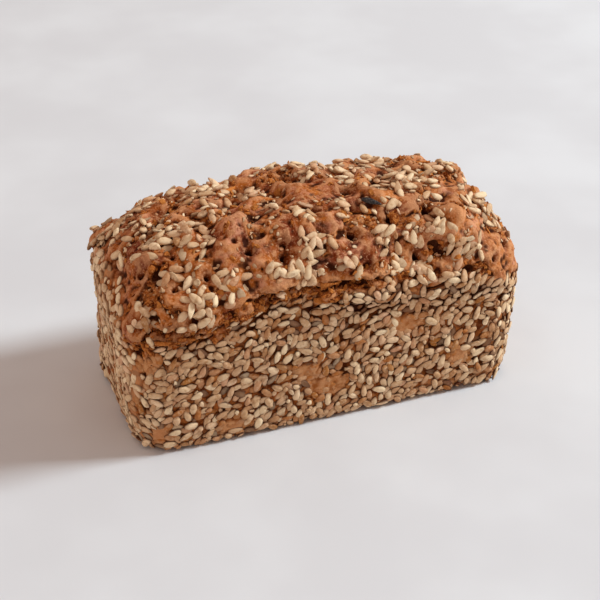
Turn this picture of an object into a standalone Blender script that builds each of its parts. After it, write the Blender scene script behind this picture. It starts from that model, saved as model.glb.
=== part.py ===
"""A rye bread loaf baked in a tin, as one solid.

The base is flat and the sides were pressed straight by the tin. Above them the dough swelled over the
tin's rim into a lumpy crust, which was pricked in rows before baking.
"""

import math

import bmesh
import bpy
import numpy as np
from mathutils import Vector, noise
from mathutils.bvhtree import BVHTree

# Driving dimensions, in metres. +X runs along the loaf, -Y is its front, and z = 0 is its base.
BASE_LENGTH = 0.205
BASE_WIDTH = 0.099
RIM_HEIGHT = 0.0705  # from the base to the crust's edge, on average
CROWN_RISE = 0.0425  # from the crust's edge to the top of the loaf

# How far each side leans out for every metre of height, and how far it bellies out at the rim.
LEFT_LEAN, RIGHT_LEAN = 0.125, 0.098
FRONT_LEAN, BACK_LEAN = 0.026, 0.030
LONG_SIDE_BELLY, END_BELLY = 0.0014, -0.0008

BASE_CORNER = 0.019  # radius of the upright corners at the base
RIM_CORNER = 0.029  # and at the rim
BASE_EDGE = 0.004  # radius of the edge round the base
BACK_LEFT_SETBACK = 0.010  # the end shrank most at its back corner, by this much at the rim

# The crust's edge: it hangs over the pressed side, dips at the corners and wanders up and down.
OVERHANG = 0.0030  # at the front; the other sides have a third of it
PINCH = 0.0006
LEDGE_DEPTH = 0.003
RIM_WAVE = 0.0035
RIM_CORNER_DIP = 0.007
RIM_END_DIP = 0.004
RIM_LENGTHWISE_TILT = -0.004
FRONT_SWELL, FRONT_SWELL_AT, FRONT_SWELL_WIDTH = 0.009, -0.20, 0.28  # shares of the half length

# The crown's section: a higher squareness gives a flatter top, a higher shoulder a steeper edge.
CROWN_SQUARENESS = 3.35
CROWN_SHOULDER = 1.5
CROWN_FRONT_FULLNESS = 0.007
CROWN_END_FULLNESS = 0.020
CROWN_LENGTHWISE_TILT = 0.002
CROWN_END_TUCK = 0.006  # how far the crown's ends lean in by its top

# Unevenness of the crust: broad lumps, and small ones on top of them.
BROAD_LUMP, BROAD_LUMP_SPAN = 0.0034, 0.030
BROAD_LUMP_PLACE = Vector((-10.6, 19.8, -1.2))  # shifts the pattern of the broad lumps
SMALL_LUMP, SMALL_LUMP_SPAN = 0.0016, 0.011
SIDE_LUMP = 0.0007

# Prick holes, in rows along the loaf that lie evenly round the crown's curve.
PRICK_SPACING = 0.0198
PRICKS_IN_A_ROW = 10
PRICK_ROWS_EACH_SIDE = 4
PRICK_ROW_TURN = math.radians(15.5)
PRICK_ROW_REACH = 0.0520  # half width that the rows' turn is measured on
PRICK_ROW_SHIFT = 0.003
PRICK_JITTER = 0.006
PRICK_RADIUS = 0.0052
PRICK_DEPTH = 0.0052
PRICK_FACING = 0.45  # only crust that faces up at least this much was pricked
PRICK_DEPTH_UNEVENNESS = 1.6
PRICK_UNLIKENESS = 3.7  # how far apart in the noise two neighbouring pricks lie

# Faces along and across the top, and bands of faces up the side.
FACES_ALONG, FACES_ACROSS = 66, 44
SIDE_BANDS = 5
BASE_EDGE_BANDS = 3
CURVE_STEPS = 600  # short steps that measure the crown's curve


def clear_scene():
    for thing in list(bpy.data.objects):
        bpy.data.objects.remove(thing, do_unlink=True)


def smooth_step(low, high, value):
    share = min(max((value - low) / (high - low), 0.0), 1.0)
    return share * share * (3 - 2 * share)


def crust_material():
    material = bpy.data.materials.new("baked crust")
    material.use_nodes = True
    shader = material.node_tree.nodes["Principled BSDF"]
    shader.inputs["Base Color"].default_value = (0.315, 0.135, 0.062, 1.0)
    shader.inputs["Roughness"].default_value = 0.78
    shader.inputs["Metallic"].default_value = 0.0
    material.diffuse_color = (0.315, 0.135, 0.062, 1.0)
    return material


def on_outline(u, v, half_length, half_width, radius):
    """Where the line from the centre towards (u, v), on the unit square's edge, meets the outline."""
    x, y = abs(u) * half_length, abs(v) * half_width
    corner_x, corner_y = half_length - radius, half_width - radius
    share = 1.0
    if x > corner_x and y > corner_y:
        square = x * x + y * y
        along = x * corner_x + y * corner_y
        beyond = corner_x ** 2 + corner_y ** 2 - radius ** 2
        share = (along + math.sqrt(along * along - square * beyond)) / square
    return u * half_length * share, v * half_width * share


def side_point(u, v, height, outset=0.0):
    """A point of the pressed side at a height, moved outwards by the outset."""
    rise = height / RIM_HEIGHT
    left = BASE_LENGTH / 2 + LEFT_LEAN * height
    right = BASE_LENGTH / 2 + RIGHT_LEAN * height
    front = BASE_WIDTH / 2 + FRONT_LEAN * height
    back = BASE_WIDTH / 2 + BACK_LEAN * height
    radius = BASE_CORNER + (RIM_CORNER - BASE_CORNER) * rise ** 2 + outset
    half_length = (left + right) / 2 + outset
    half_width = (front + back) / 2 + outset
    x, y = on_outline(u, v, half_length, half_width, radius)
    x += (right - left) / 2 + END_BELLY * rise * u * (1 - v * v)
    x += BACK_LEFT_SETBACK * rise * max(-u, 0.0) ** 3 * ((1 + v) / 2) ** 2
    y += (back - front) / 2 + LONG_SIDE_BELLY * rise * v * (1 - u * u)
    return Vector((x, y, height))


def rim_height(u, v):
    """Height of the crust's edge round the loaf."""
    corner = (u * v) ** 4
    wave = noise.noise(Vector((2.6 * u, 1.4 * v, 7.3)))
    swell = math.exp(-(((u - FRONT_SWELL_AT) / FRONT_SWELL_WIDTH) ** 2)) * max(-v, 0.0) ** 4
    return (
        RIM_HEIGHT
        + RIM_WAVE * wave
        + RIM_LENGTHWISE_TILT * u
        + FRONT_SWELL * swell
        - RIM_END_DIP * u * u
        - RIM_CORNER_DIP * corner
    )


def rim_outset(u, v):
    """How far the crust's edge hangs out over the side."""
    share = 1 / 3 + 2 / 3 * max(-v, 0.0) ** 4
    return OVERHANG * share * (0.7 + 0.9 * noise.noise(Vector((3.3 * u, 1.9 * v, 2.1))))


def arch(spread):
    """The crown's section: its height, as a share, from 1 in the middle to 0 at the rim."""
    return max(1 - spread ** CROWN_SQUARENESS, 0.0) ** (1 / CROWN_SHOULDER)


def crown_point(u, v):
    """A point of the crust's top, for u and v from -1 to 1 across the loaf."""
    spread = max(abs(u), abs(v))
    edge_u, edge_v = (u / spread, v / spread) if spread else (0.0, -1.0)
    rim = side_point(edge_u, edge_v, rim_height(edge_u, edge_v), rim_outset(edge_u, edge_v))
    x, y = rim.x * spread, rim.y * spread
    along, across = x / side_point(1.0, 0.0, RIM_HEIGHT).x, 2 * y / BASE_WIDTH
    rise = CROWN_RISE - CROWN_FRONT_FULLNESS * across
    rise += CROWN_END_FULLNESS * along ** 4 + CROWN_LENGTHWISE_TILT * along
    foot = RIM_HEIGHT + (rim.z - RIM_HEIGHT) * spread ** 2
    x -= CROWN_END_TUCK * along ** 3 * arch(spread)
    return Vector((x, y, foot + rise * arch(spread)))


def even_lines(half_span, faces):
    """Grid lines from -1 to 1 that lie evenly along the crown's curve over this half span."""
    spreads = np.linspace(0.0, 1.0, CURVE_STEPS + 1)
    heights = np.array([CROWN_RISE * arch(spread) for spread in spreads])
    steps = np.hypot(half_span * np.diff(spreads), np.diff(heights))
    travelled = np.concatenate([[0.0], np.cumsum(steps)])
    wanted = np.linspace(0.0, travelled[-1], faces // 2 + 1)
    half = np.interp(wanted, travelled, spreads)
    return [float(value) for value in np.concatenate([-half[:0:-1], half])]


def perimeter():
    """The top's grid places round its edge, anticlockwise from the front left corner."""
    front = [(i, 0) for i in range(FACES_ALONG)]
    right = [(FACES_ALONG, j) for j in range(FACES_ACROSS)]
    back = [(i, FACES_ACROSS) for i in range(FACES_ALONG, 0, -1)]
    left = [(0, j) for j in range(FACES_ACROSS, 0, -1)]
    return front + right + back + left


def side_rings(bm, lines_along, lines_across):
    """Rings of vertices up the side, from the flat base to just under the crust's edge."""
    places = [(lines_along[i], lines_across[j]) for i, j in perimeter()]
    rings = []
    for step in range(BASE_EDGE_BANDS):
        turn = math.pi / 2 * step / BASE_EDGE_BANDS
        height = BASE_EDGE * (1 - math.cos(turn))
        outset = BASE_EDGE * (math.sin(turn) - 1)
        rings.append([bm.verts.new(side_point(u, v, height, outset)) for u, v in places])
    for band in range(SIDE_BANDS):
        share = band / (SIDE_BANDS - 1)
        ring = []
        for u, v in places:
            top = rim_height(u, v) - LEDGE_DEPTH
            height = BASE_EDGE + (top - BASE_EDGE) * share
            outset = -PINCH * smooth_step(0.8, 1.0, share)
            ring.append(bm.verts.new(side_point(u, v, height, outset)))
        rings.append(ring)
    return rings


def build_shell(bm):
    """The smooth loaf: base, side bands, overhanging edge and crown, as one closed surface."""
    lines_along = even_lines(BASE_LENGTH / 2, FACES_ALONG)
    lines_across = even_lines(BASE_WIDTH / 2, FACES_ACROSS)
    top = {}
    for i, u in enumerate(lines_along):
        for j, v in enumerate(lines_across):
            top[i, j] = bm.verts.new(crown_point(u, v))
    for i in range(FACES_ALONG):
        for j in range(FACES_ACROSS):
            bm.faces.new((top[i, j], top[i + 1, j], top[i + 1, j + 1], top[i, j + 1]))
    rings = side_rings(bm, lines_along, lines_across)
    rings.append([top[place] for place in perimeter()])
    for lower, upper in zip(rings, rings[1:]):
        for n in range(len(lower)):
            after = (n + 1) % len(lower)
            bm.faces.new((lower[n], lower[after], upper[after], upper[n]))
    bm.faces.new(list(reversed(rings[0])))
    bmesh.ops.triangulate(bm, faces=bm.faces[:], quad_method="BEAUTY", ngon_method="BEAUTY")


def prick_holes(bm):
    """Where the crust was pricked: points of the smooth crown, each with its share of full depth."""
    surface = BVHTree.FromBMesh(bm)
    holes = []
    for row in range(-PRICK_ROWS_EACH_SIDE, PRICK_ROWS_EACH_SIDE + 1):
        across = PRICK_ROW_REACH * math.sin(row * PRICK_ROW_TURN)
        stagger = 0.5 if row % 2 == 0 else 0.0
        for n in range(PRICKS_IN_A_ROW):
            along = PRICK_ROW_SHIFT + (n - (PRICKS_IN_A_ROW - 1) / 2 + stagger) * PRICK_SPACING
            chance = PRICK_UNLIKENESS * Vector((n, row, 0.5))
            stray = PRICK_JITTER * noise.noise_vector(chance)
            depth = 1 - PRICK_DEPTH_UNEVENNESS * abs(noise.noise(chance))
            above = Vector((along + stray.x, across + stray.y / 2, 1.0))
            place, normal, _, _ = surface.ray_cast(above, Vector((0.0, 0.0, -1.0)))
            if place and normal.z > PRICK_FACING:
                holes.append((place, max(depth, 0.0)))
    return holes


def lump_height(point):
    """How far the baked surface stands out from the smooth loaf at a point."""
    broad = BROAD_LUMP * noise.noise(point / BROAD_LUMP_SPAN + BROAD_LUMP_PLACE)
    small = SMALL_LUMP * noise.noise(point / SMALL_LUMP_SPAN + Vector((9.0, 4.0, 2.0)))
    side = SIDE_LUMP * noise.noise(point / SMALL_LUMP_SPAN)
    on_crust = smooth_step(RIM_HEIGHT - 0.010, RIM_HEIGHT + 0.006, point.z)
    off_base = smooth_step(0.0, 2 * BASE_EDGE, point.z)
    return off_base * (on_crust * (broad + small) + (1 - on_crust) * side)


def prick_drop(point, holes):
    """How far a point of the smooth loaf was pushed down by the nearest prick."""
    drop = 0.0
    for place, depth in holes:
        away = (point - place).length / PRICK_RADIUS
        drop = max(drop, depth * PRICK_DEPTH * math.exp(-away * away))
    return drop


def roughen(bm):
    bm.normal_update()
    holes = prick_holes(bm)
    down = Vector((0.0, 0.0, -1.0))
    moves = [vert.normal * lump_height(vert.co) + down * prick_drop(vert.co, holes) for vert in bm.verts]
    for vert, move in zip(bm.verts, moves):
        vert.co += move


def centre_on_base(bm):
    """Puts the middle of the loaf's box over the origin and its base on z = 0."""
    xs = [vert.co.x for vert in bm.verts]
    ys = [vert.co.y for vert in bm.verts]
    zs = [vert.co.z for vert in bm.verts]
    middle = Vector(((min(xs) + max(xs)) / 2, (min(ys) + max(ys)) / 2, min(zs)))
    for vert in bm.verts:
        vert.co -= middle


def make_loaf():
    bm = bmesh.new()
    build_shell(bm)
    roughen(bm)
    centre_on_base(bm)
    mesh = bpy.data.meshes.new("loaf")
    bm.to_mesh(mesh)
    bm.free()
    mesh.shade_smooth()
    mesh.materials.append(crust_material())
    loaf = bpy.data.objects.new("loaf", mesh)
    bpy.context.scene.collection.objects.link(loaf)
    return loaf


clear_scene()
make_loaf()
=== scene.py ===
import math
import random
from collections import namedtuple

import bmesh
import bpy
import numpy as np
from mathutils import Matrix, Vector, noise
from mathutils.bvhtree import BVHTree


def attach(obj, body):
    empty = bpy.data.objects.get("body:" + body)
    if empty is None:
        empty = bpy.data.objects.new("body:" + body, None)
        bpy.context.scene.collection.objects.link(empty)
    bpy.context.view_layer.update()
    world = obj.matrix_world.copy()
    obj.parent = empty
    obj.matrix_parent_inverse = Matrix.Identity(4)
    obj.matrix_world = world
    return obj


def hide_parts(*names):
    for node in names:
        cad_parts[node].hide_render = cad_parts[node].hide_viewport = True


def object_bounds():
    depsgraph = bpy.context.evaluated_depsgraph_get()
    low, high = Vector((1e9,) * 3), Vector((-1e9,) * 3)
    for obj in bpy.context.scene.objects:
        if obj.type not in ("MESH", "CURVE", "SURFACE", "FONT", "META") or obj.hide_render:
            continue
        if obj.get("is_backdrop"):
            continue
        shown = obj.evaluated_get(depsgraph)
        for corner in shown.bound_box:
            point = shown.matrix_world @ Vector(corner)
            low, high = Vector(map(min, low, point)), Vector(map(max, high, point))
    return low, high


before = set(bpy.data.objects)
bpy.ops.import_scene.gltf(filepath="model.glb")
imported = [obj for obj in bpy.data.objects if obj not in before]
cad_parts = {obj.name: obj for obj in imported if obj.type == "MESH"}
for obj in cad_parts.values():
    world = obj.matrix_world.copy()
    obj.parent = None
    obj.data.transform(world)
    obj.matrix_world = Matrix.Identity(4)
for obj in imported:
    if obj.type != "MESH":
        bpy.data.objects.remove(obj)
cad_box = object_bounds()

# ---------------------------------------------------------------- the crust
# The loaf itself: rye dough that rose in a tin, so its base and sides were pressed smooth, and swelled over
# the rim into a lumpy crown. It was pricked in rows, and it tore open along the front rim as it baked.

MM = 0.001
SIDE_GRAIN = 1.68 * MM  # spacing of the mesh under the kernels; the crown's is half of it
BARE_PATCHES = [
    # x, y, z of the middle, half width and half height, where the dough came through the kernels
    (-4, -50, 22, 14, 7),
    (36, -50, 50, 11, 6),
    (-16, -50, 33, 9, 5),
    (-55, -49, 9, 9, 3.5),
    (-97, -46, 56, 6, 9),
    (-92, -47, 11, 5, 6),
    (70, -51, 22, 8, 5),
    (20, 50, 40, 12, 7),
    (-40, 50, 25, 11, 6),
    (106, 12, 45, 8, 9),
]
PRICKS = [
    # x, y, z and half width of the pricks on the front half of the crown
    (-21, -17, 112, 3.0), (-5, -28, 117, 2.7), (17, -13, 112, 3.0), (53, -34, 110, 3.2),
    (-44, -42, 107, 1.9), (-27, -45, 108, 1.8), (-7, -39, 109, 2.0), (11, -42, 104, 2.2),
    (33, -37, 107, 3.2), (-28, -48, 101, 1.3), (15, -51, 92, 1.8), (42, -48, 89, 2.0),
    (-66, -45, 98, 1.5), (-82, -43, 93, 1.4), (-57, -14, 110, 1.5), (87, -49, 80, 1.5),
    (96, -40, 81, 1.3), (-95, -26, 96, 2.0), (14, -27, 113, 2.0), (31, -17, 113, 2.6),
    (-38, -27, 112, 0.9), (-50, -36, 108, 0.8), (72, -14, 108, 1.6), (-78, -28, 101, 1.2),
]
PATCH_DEEP = 12  # how far a bare patch on a long side reaches into the loaf
PRICK_DEEP = 8.5 * MM
BACK_ROWS, PRICKS_A_ROW = 4, 9  # on the back half of the crown, in staggered rows
ROW_SPACING, PRICK_SPACING = 13.5, 21
SWELLS = [
    # x, y, z, half width and height of lumps that rose on the crown, and how blunt: 1 is a sharp peak
    (-93, 38, 83, 12, 3.4, 2),
    (-92, 32, 89, 10, 2.5, 2),
    (87, 2, 102, 8, 5.5, 2),
    (99, -21, 91, 12, -6.0, 2),
    (-106, -4, 89, 12, -5.5, 2),
    (-70, 28, 99, 9, 1.8, 2),
    (-45, 30, 104, 9, 2.2, 2),
    (92, 6, 98, 7, 2.5, 2),
    (86, -19, 101, 6, 3.0, 2),
    (-3, 32, 106, 9, 2.6, 2),
    (58, 34, 103, 9, -2.5, 2),
    (73, 21, 104, 5, 5.5, 1.1),
    (57, 22, 107, 8, -3.0, 2),
    (-22, 31, 105, 7, 3.5, 1.5),
]


def ease(low, high, value):
    """A smooth step from 0 below low to 1 above high."""
    share = np.clip((value - low) / (high - low), 0.0, 1.0)
    return share * share * (3 - 2 * share)


def cloud(points, span, shift, octaves=1):
    """Smooth noise, about -1 to 1, in lumps about this wide."""
    place = Vector((shift, -1.7 * shift, 2.3 * shift))
    return np.array([noise.fractal(Vector(p) / span + place, 1.0, 2.0, octaves) for p in points])


def crags(points, span, shift):
    """Sharp ridges with rounded hollows between them, as in torn crust, about -1 to 1."""
    total = sum(0.42 ** k * (0.5 - 2 * np.abs(cloud(points, span / 2 ** k, shift + k))) for k in range(3))
    return total / 1.2


def crumble(points, span, shift):
    """Round crumbs side by side with sharp creases between them, from 0 in a crease to 1 on a crumb."""
    place = Vector((shift, -1.7 * shift, 2.3 * shift))
    return np.array([1 - noise.voronoi(Vector(p) / span + place)[0][0] ** 2 * 1.4 for p in points])


def bump(value, middle, width, power=2):
    return np.exp(-np.abs((value - middle) / width) ** power)


def rim_height(points):
    """The height of the crown's lower edge, all round the loaf."""
    x, y = points[:, 0] / MM, points[:, 1] / MM
    front = 74.5 + 12.5 * ease(-72, -38, x) - 4.5 * ease(-27, -8, x) + 2 * bump(x, 20, 12)
    front -= 8 * ease(28, 50, x) + 5 * ease(50, 90, x)
    back = 71 + 3 * np.sin(x / 21 + 1.0) + 1.5 * np.sin(x / 9)
    left = 66 + 21 * ease(-46, -14, y) - 15 * ease(20, 42, y)
    right = 66 + 5 * np.sin(y / 15)
    long_side = np.where(y < 0, front, back)
    end = np.where(x < 0, left, right)
    endwards = ease(0.0, 10.0, (np.abs(x) - 55) - (np.abs(y) - 8))
    return (long_side * (1 - endwards) + end * endwards) * MM


def lip_share(points):
    """How far the crown's lower edge stands out and hangs over: most in the middle of the front."""
    x, y = points[:, 0] / MM, points[:, 1] / MM
    front = 0.15 + 0.85 * bump(x, -12, 38, 4) + 1.2 * bump(x, -86, 14, 4) + 0.3 * bump(x, 48, 14, 4)
    return np.where(y < 0, front * ease(30, 44, -y), 0.35 * ease(30, 44, y) * (1 + np.sin(x / 17)))


def torn_band(points):
    """How much torn dough, in mm, shows between the topmost pressed kernels and the crown's lip."""
    x, y = points[:, 0] / MM, points[:, 1] / MM
    front = 2.5 + 3.5 * ease(48, 36, x) + 2.5 * ease(2, -6, x) + 3 * ease(-26, -36, x)
    return np.where(y < 0, front, 2.5) * ease(30, 44, np.abs(y))


def raggedness(points):
    """How far, in mm, the rim and the topmost kernels stray up and down."""
    return 2.6 * cloud(points, 17 * MM, 6.1) + 3.0 * cloud(points, 7 * MM, 4.1, 2)


def pressed_top(points):
    """The height up to which the kernels were pressed into the side."""
    return rim_height(points) - torn_band(points) * MM


def torn_patches(points, ragged=0.0):
    """Where the crown's crust broke up as it baked, from 0 to 1."""
    return ease(0.06, 0.36, cloud(points, 17 * MM, 8.8) + ragged)


def on_left_end(x):
    """1 on the left end, where the kernels lie shallower and are painted paler and less filmed as painted
    light, and 0 elsewhere.
    """
    return ease(-99, -104, x / MM)


def mesh_of(bm, name):
    mesh = bpy.data.meshes.new(name)
    bm.to_mesh(mesh)
    bm.free()
    return mesh


def merged_copy(node):
    """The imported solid's surface as one joined mesh."""
    bm = bmesh.new()
    bm.from_mesh(node.data)
    bmesh.ops.remove_doubles(bm, verts=bm.verts, dist=0.01 * MM)
    return mesh_of(bm, "loaf_form")


def evaluated_mesh(piece):
    depsgraph = bpy.context.evaluated_depsgraph_get()
    return bpy.data.meshes.new_from_object(piece.evaluated_get(depsgraph), depsgraph=depsgraph)


def link(name, mesh):
    piece = bpy.data.objects.new(name, mesh)
    bpy.context.scene.collection.objects.link(piece)
    return piece


def triples(items, name):
    flat = np.empty(len(items) * 3, np.float32)
    items.foreach_get(name, flat)
    return flat.reshape(-1, 3).astype(float)


def corners(mesh):
    return triples(mesh.vertices, "co")


def normals(mesh):
    return triples(mesh.vertex_normals, "vector")


def move_corners(mesh, places):
    mesh.vertices.foreach_set("co", places.astype(np.float32).ravel())
    mesh.update()


def settle(values, edges, rounds):
    """Averages each value with its neighbours' over and over."""
    count = np.zeros(len(values))
    np.add.at(count, edges[:, 0], 1)
    np.add.at(count, edges[:, 1], 1)
    for _ in range(rounds):
        total = np.zeros_like(values)
        np.add.at(total, edges[:, 0], values[edges[:, 1]])
        np.add.at(total, edges[:, 1], values[edges[:, 0]])
        mean = total / (count[:, None] if values.ndim > 1 else count)
        values = 0.5 * values + 0.5 * mean
    return values


def edge_pairs(mesh):
    flat = np.empty(len(mesh.edges) * 2, np.int32)
    mesh.edges.foreach_get("vertices", flat)
    return flat.reshape(-1, 2)


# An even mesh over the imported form, twice as fine above the pressed kernels.
form = merged_copy(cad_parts["loaf"])
form_tree = BVHTree.FromPolygons([v.co for v in form.vertices], [p.vertices for p in form.polygons])

crust = link("loaf_crust", form.copy())
remesh = crust.modifiers.new("even skin", "REMESH")
remesh.mode = "VOXEL"
remesh.voxel_size = SIDE_GRAIN
skin = evaluated_mesh(crust)
crust.modifiers.clear()
crust.data = skin

bm = bmesh.new()
bm.from_mesh(skin)
bm.verts.ensure_lookup_table()
places = np.array([v.co for v in bm.verts])
above = places[:, 2] > pressed_top(places) - 3 * MM
fine = [f for f in bm.faces if all(above[v.index] for v in f.verts)]
fine_edges = list({e for f in fine for e in f.edges})
bmesh.ops.subdivide_edges(bm, edges=fine_edges, cuts=1, use_grid_fill=True)
bmesh.ops.triangulate(bm, faces=[f for f in bm.faces if len(f.verts) > 4])
bm.to_mesh(skin)
bm.free()

edges = edge_pairs(skin)
smooth = settle(corners(skin), edges, 6)
smooth[:, 2] = np.maximum(smooth[:, 2], 0)
move_corners(skin, smooth)
facing = settle(normals(skin), edges, 2)
facing /= np.linalg.norm(facing, axis=1)[:, None]

# How far each point is above the rim and the kernels, in mm, and which parts of the crust it belongs to.
over_rim = (smooth[:, 2] - rim_height(smooth)) / MM + raggedness(smooth)
lips = lip_share(smooth)
over_kernels = over_rim + torn_band(smooth)
blur = 1 + 3 * ease(0.5, 0.1, lips)
on_crown = ease(-1.2, 1.2, over_kernels / blur)
bare = np.zeros(len(smooth))
for x, y, z, wide, high in BARE_PATCHES:
    offset = (smooth / MM - np.array([x, y, z])) / np.array([wide, PATCH_DEEP if abs(y) > 40 else wide, high])
    away = np.linalg.norm(offset, axis=1) + 0.35 * cloud(smooth, 4 * MM, 7.7)
    bare = np.maximum(bare, 1 - ease(0.6, 1.15, away))

band = ease(-0.6, 0.8, over_kernels) * ease(1.6, 0.2, over_rim) * ease(0.2, 0.6, lips)
lip = bump(over_rim, 2.6, 2.4) * lips
torn = torn_patches(smooth, 0.5 * cloud(smooth, 6 * MM, 1.8))
edge = bump(torn, 0.5, 0.3)
torn = np.maximum(torn, np.maximum(band, np.minimum(1.2 * lip, 1))) * on_crown

# How far each point stands out, in mm: humps and torn crust on the crown, the dough under the kernels on
# the sides, and the lip and the ledge along the front rim.
crumbs_up = crumble(smooth, 3.4 * MM, 3.3)
crown_relief = (
    4.2 * cloud(smooth, 14 * MM, 3.1)
    + 1.4 * cloud(smooth, 7 * MM, 6.4, 2)
    + torn * (1.5 * crags(smooth, 10 * MM, 5.2) + (0.4 + 0.8 * band) * crumbs_up - 1.3)
    + 0.5 * edge
    + 0.3 * cloud(smooth, 2.4 * MM, 9.6, 2)
)
under_lip = bump(over_rim, -1.5, 2.8) * lips
ledge = bump(over_rim, -7, 2.2) * bump(smooth[:, 0] / MM, -87, 12, 4) * (smooth[:, 1] < 0)
lip_relief = lip * (1.8 + 1.2 * cloud(smooth, 5 * MM, 14.2, 2)) - band * 1.2 - 3.2 * under_lip + 3.4 * ledge
left_end = on_left_end(smooth[:, 0])
dough_sink = 1.25 - 0.45 * left_end + 0.5 * ease(42, 62, smooth[:, 2] / MM) * (1 - left_end)
dough_sink += 0.5 * cloud(smooth, 18 * MM, 21.4)
side_relief = -np.maximum(dough_sink, 0.7) * (1 - 0.45 * bare) + 0.35 * cloud(smooth, 4 * MM, 2.7, 2)
for x, y, z, wide, high, blunt in SWELLS:
    away = np.linalg.norm(smooth / MM - np.array([x, y, z]), axis=1)
    crown_relief += high * bump(away, 0, wide, blunt)
relief = on_crown * (crown_relief - 0.4) + (1 - on_crown) * side_relief + lip_relief
moved = smooth + facing * relief[:, None] * MM
moved[:, 2] -= 1.3 * MM * lip

# The pricks, each a hole at the bottom of a shallow dent.
chance = random.Random(11)
pricks = [(Vector(p[:3]) * MM, p[3] * MM) for p in PRICKS]
for row in range(BACK_ROWS):
    for n in range(PRICKS_A_ROW):
        x = (n - PRICKS_A_ROW // 2 + 0.5 * (row % 2)) * PRICK_SPACING + chance.uniform(-4, 4)
        y = (2 + ROW_SPACING * row) + chance.uniform(-2.5, 2.5)
        if abs(x) < 92:
            pricks.append((Vector((x, y, 118 - row * 3)) * MM, chance.uniform(1.2, 2.6) * MM))
prick_hole, funnel = np.zeros(len(smooth)), np.zeros(len(smooth))
wobble = cloud(smooth, 3.2 * MM, 12.3, 2)
for middle, wide in pricks:
    place, out, _, _ = form_tree.find_nearest(middle)
    out = (out + Vector((0, 0, 0.7))).normalized()
    away = smooth - np.array(place)
    along = away @ np.array(out)
    across = np.linalg.norm(away - along[:, None] * np.array(out), axis=1)
    ragged = across * (1 + 0.35 * wobble)
    hole = np.exp(-((ragged / (0.8 * wide)) ** 3)) * (np.abs(along) < 8 * MM)
    slope = np.exp(-((across / (2.3 * wide)) ** 2)) * (np.abs(along) < 12 * MM)
    deep = (0.7 * hole + 0.4 * slope) * PRICK_DEEP * min(wide / (2 * MM), 1.0)
    moved -= deep[:, None] * np.array(out)
    prick_hole, funnel = np.maximum(prick_hole, hole), np.maximum(funnel, slope)
moved[:, 2] = np.maximum(moved[:, 2], 0.6 * MM)
move_corners(skin, moved)

# How deep in a dip each point lies, from 0 on a ridge to 1 in a pit, for painted shade in pits and painted
# highlight on ridges.
nearby, around = settle(moved, edges, 5), settle(moved, edges, 30)
hollow = np.einsum("ij,ij->i", nearby - moved, normals(skin)) / (0.5 * MM)
# Less painted shade on torn crust and on the left end's sides.
hollow *= (1 - 0.6 * torn * (1 - band)) * (1 - 0.4 * left_end * (1 - on_crown))
hollow += np.einsum("ij,ij->i", around - moved, normals(skin)) / (0.95 * MM)
hollow = settle(np.clip(0.52 + 0.5 * hollow, 0, 1), edges, 1)
# Painted shade in the prick holes and painted shadow under the lip.
hollow = np.maximum(hollow, ease(0.1, 0.7, prick_hole))
hollow = np.maximum(hollow, 0.8 * bump(over_rim, -1.5, 2.2) * np.minimum(lips, 1))


def store(mesh, name, values):
    """Keeps one number for each vertex, which the material reads."""
    attribute = mesh.attributes.new(name, "FLOAT", "POINT")
    attribute.data.foreach_set("value", values.astype(np.float32))


painted = {"crown": on_crown, "torn": torn, "hollow": hollow, "bare": bare, "funnel": funnel}
for name, values in painted.items():
    store(skin, name, values)
skin.shade_smooth()


class Nodes:
    """Builds one material or group node by node."""

    def __init__(self, tree):
        self.tree = tree

    def add(self, kind, inputs=(), **settings):
        node = self.tree.nodes.new(kind)
        for key, value in settings.items():
            setattr(node, key, value)
        for key, value in dict(inputs).items():
            if isinstance(value, bpy.types.NodeSocket):
                self.tree.links.new(value, node.inputs[key])
            else:
                node.inputs[key].default_value = value
        return node

    def own_place(self):
        """The point on the piece, in the piece's own coordinates."""
        return self.add("ShaderNodeTexCoord").outputs["Object"]

    def number(self, name):
        return self.add("ShaderNodeAttribute", attribute_name=name).outputs["Fac"]

    def noise(self, place, scale, detail=2.0, roughness=0.5):
        inputs = {"Vector": place, "Scale": scale, "Detail": detail, "Roughness": roughness}
        return self.add("ShaderNodeTexNoise", inputs).outputs["Fac"]

    def span(self, value, low, high, start=0.0, end=1.0):
        inputs = {"Value": value, 1: low, 2: high, 3: start, 4: end}
        return self.add("ShaderNodeMapRange", inputs, interpolation_type="SMOOTHSTEP").outputs["Result"]

    def blend(self, share, first, second):
        return self.add("ShaderNodeMix", {0: share, 6: first, 7: second}, data_type="RGBA").outputs[2]

    def math(self, how, first, second=0.0):
        return self.add("ShaderNodeMath", {0: first, 1: second}, operation=how).outputs[0]


def colour(red, green, blue):
    """A colour as a paint card gives it, from 0 to 255, turned linear."""
    parts = [channel / 255 for channel in (red, green, blue)]
    return [c / 12.92 if c <= 0.04045 else ((c + 0.055) / 1.055) ** 2.4 for c in parts] + [1.0]


def new_material(name):
    material = bpy.data.materials.new(name)
    material.use_nodes = True
    nodes = Nodes(material.node_tree)
    shader = material.node_tree.nodes["Principled BSDF"]
    return material, nodes, shader


def coat(n, shader, paint, roughness, shine=0.5):
    """Gives a material its colour, how rough it is and how much it shines."""
    n.tree.links.new(paint, shader.inputs["Base Color"])
    shader.inputs["Roughness"].default_value = roughness
    shader.inputs["Specular IOR Level"].default_value = shine


def roughen(n, shader, height, strength, deep):
    """Adds the finest grain, too small to be in the mesh."""
    rough = n.add("ShaderNodeBump", {"Height": height, "Strength": strength, "Distance": deep})
    n.tree.links.new(rough.outputs["Normal"], shader.inputs["Normal"])
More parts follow.
